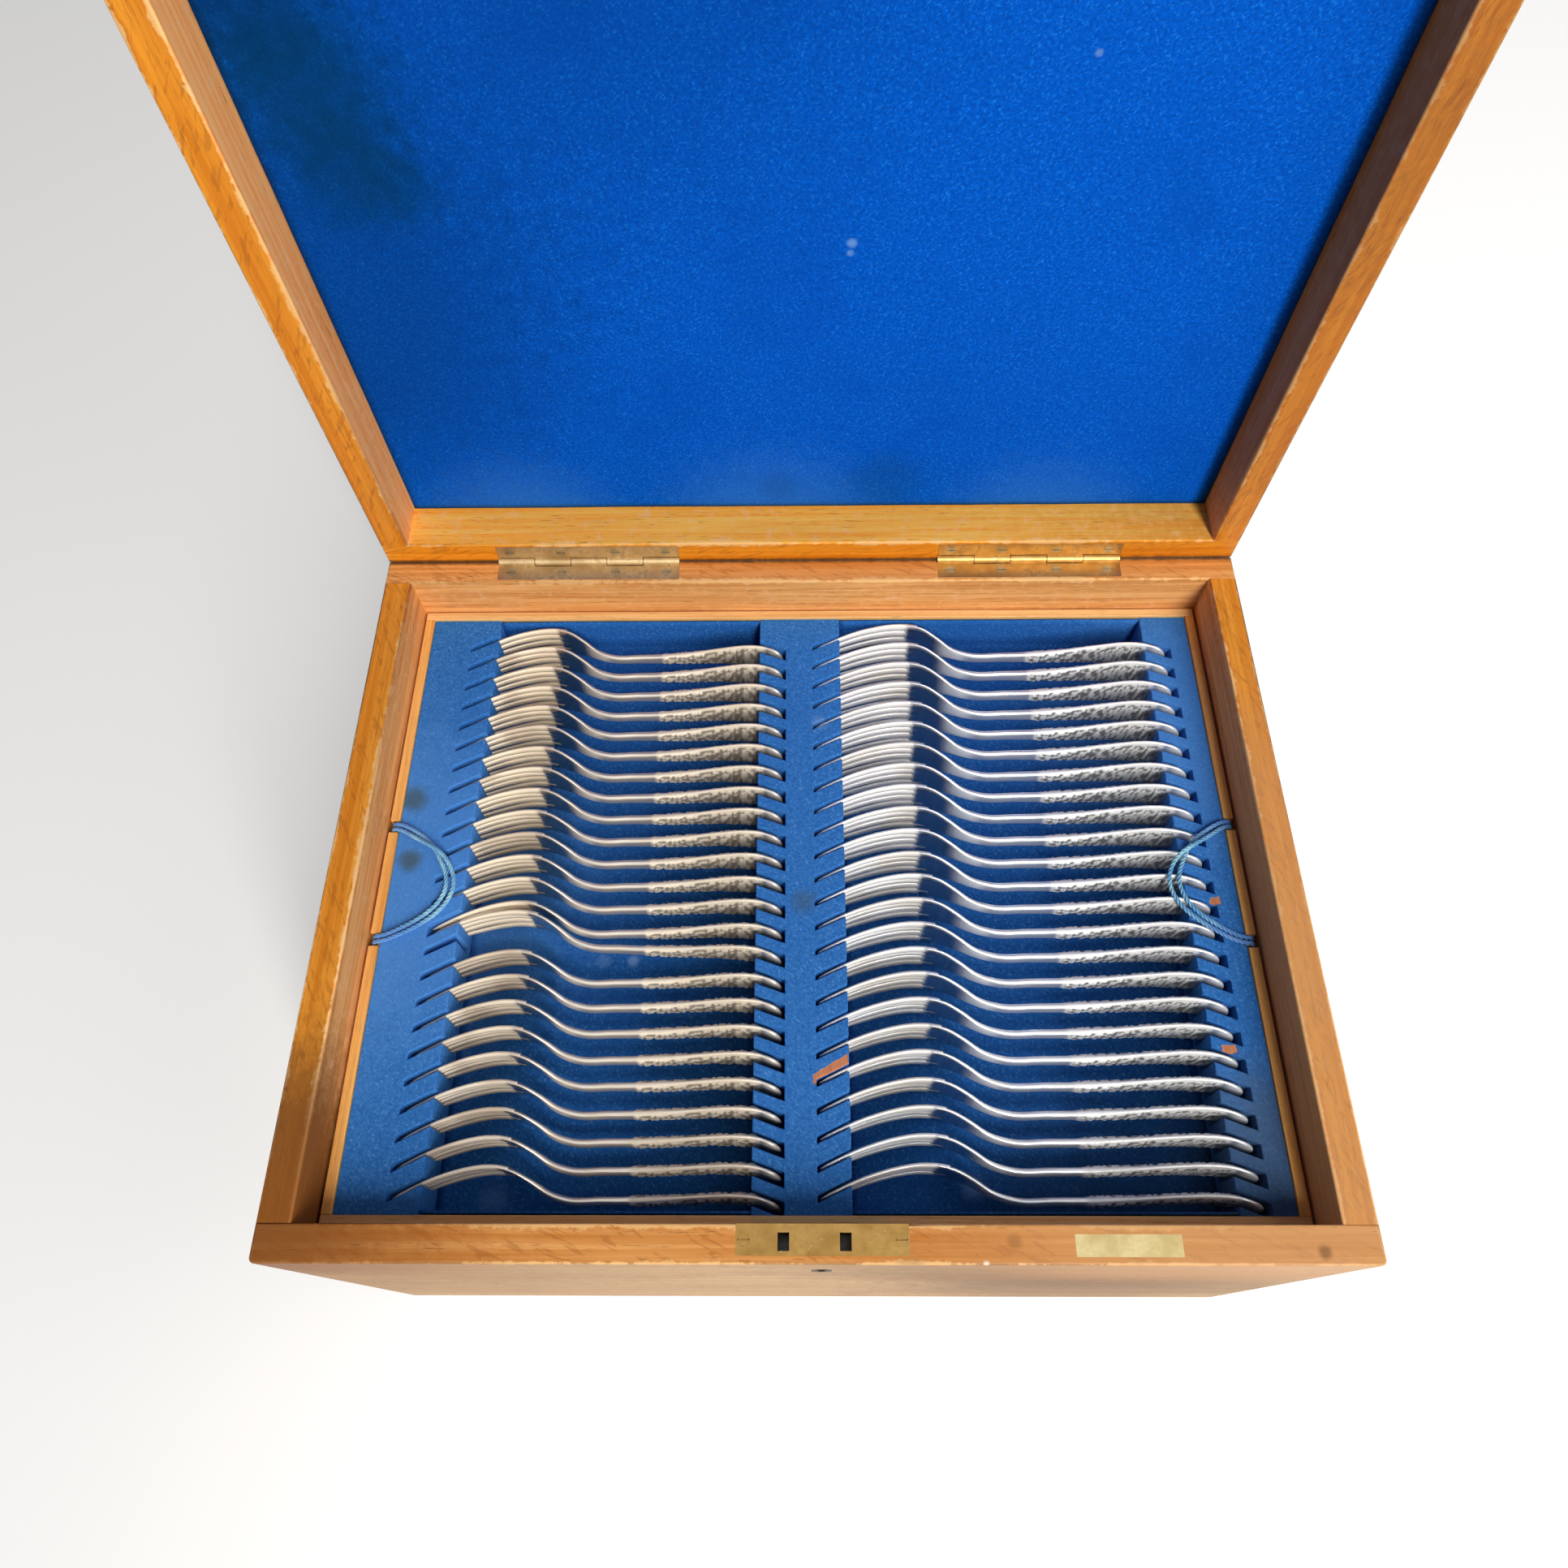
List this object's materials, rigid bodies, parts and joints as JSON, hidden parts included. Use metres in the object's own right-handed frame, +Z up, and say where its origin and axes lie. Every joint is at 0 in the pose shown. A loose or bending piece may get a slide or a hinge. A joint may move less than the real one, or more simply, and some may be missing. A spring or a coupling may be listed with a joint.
{
  "type": "cutlery canteen",
  "caption": "Oak cutlery canteen with a hinged lid, brass butt hinges and a box lock; a lift-out baize tray holds dessert and table forks on edge over empty lower trays",
  "frame": {"origin": "centre of the case's underside", "axes": "+X to the right seen from the front, +Y to the hinges at the back, +Z up"},
  "size_m": [0.474, 0.4047, 0.5916],
  "materials": {
    "oak": "oiled oak with worn arrises",
    "tray_oak": "bare pale oak strip",
    "brass": "aged unpolished brass",
    "pale_brass": "rubbed pale brass",
    "steel": "dull lock steel",
    "baize": "napped baize, worn",
    "lid_baize": "napped baize",
    "silver": "silver plate",
    "cord": "twisted silk cord"
  },
  "bodies": {
    "case": {"case_front": "oak", "case_back": "oak", "case_left_side": "oak", "case_right_side": "oak", "case_bottom": "oak", "left_hinge_case_leaf": "brass", "right_hinge_case_leaf": "brass", "left_hinge_pin": "brass", "right_hinge_pin": "brass", "hinge_screws_case": "brass", "lock_plate": "brass", "lock_case": "brass", "lock_cap": "brass", "lock_spring": "steel", "key_post": "steel", "lock_screws": "brass", "keyhole_escutcheon": "brass", "name_plate": "pale_brass", "name_plate_pins": "pale_brass", "second_tray_frame": "tray_oak", "second_tray_floor": "tray_oak", "second_tray_divider": "tray_oak", "third_tray_frame": "tray_oak", "third_tray_floor": "tray_oak", "third_tray_divider": "tray_oak", "bottom_tray_frame": "tray_oak", "bottom_tray_floor": "tray_oak", "bottom_tray_divider": "tray_oak"},
    "lid": {"lid_front_rail": "oak", "lid_back_rail": "oak", "lid_left_rail": "oak", "lid_right_rail": "oak", "lid_top": "oak", "lid_lining": "lid_baize", "left_hinge_lid_leaf": "brass", "right_hinge_lid_leaf": "brass", "hinge_screws_lid": "brass", "link_plate": "brass", "link_plate_screws": "brass"},
    "tray": {"tray_front": "tray_oak", "tray_back": "tray_oak", "tray_left_side": "tray_oak", "tray_right_side": "tray_oak", "tray_floor": "tray_oak", "left_rack": "baize", "centre_rack": "baize", "right_rack": "baize", "left_bay_lining": "baize", "right_bay_lining": "baize", "dessert_forks": "silver", "table_forks": "silver", "left_cord_under": "cord", "left_cord_over": "cord", "right_cord_under": "cord", "right_cord_over": "cord"},
    "bolt": {"lock_bolt": "steel"}
  },
  "joints": [
    {"name": "lid_hinge", "type": "hinge", "parent": "case", "child": "lid", "pos_m": [0, 0.18245, 0.2252], "axis": [1, 0, 0], "range_deg": [0, 90]},
    {"name": "tray_lift", "type": "slide", "parent": "case", "child": "tray", "axis": [0, 0, 1], "range_m": [0, 0.045]},
    {"name": "bolt_throw", "type": "slide", "parent": "case", "child": "bolt", "axis": [1, 0, 0], "range_m": [0, 0.0056]}
  ]
}
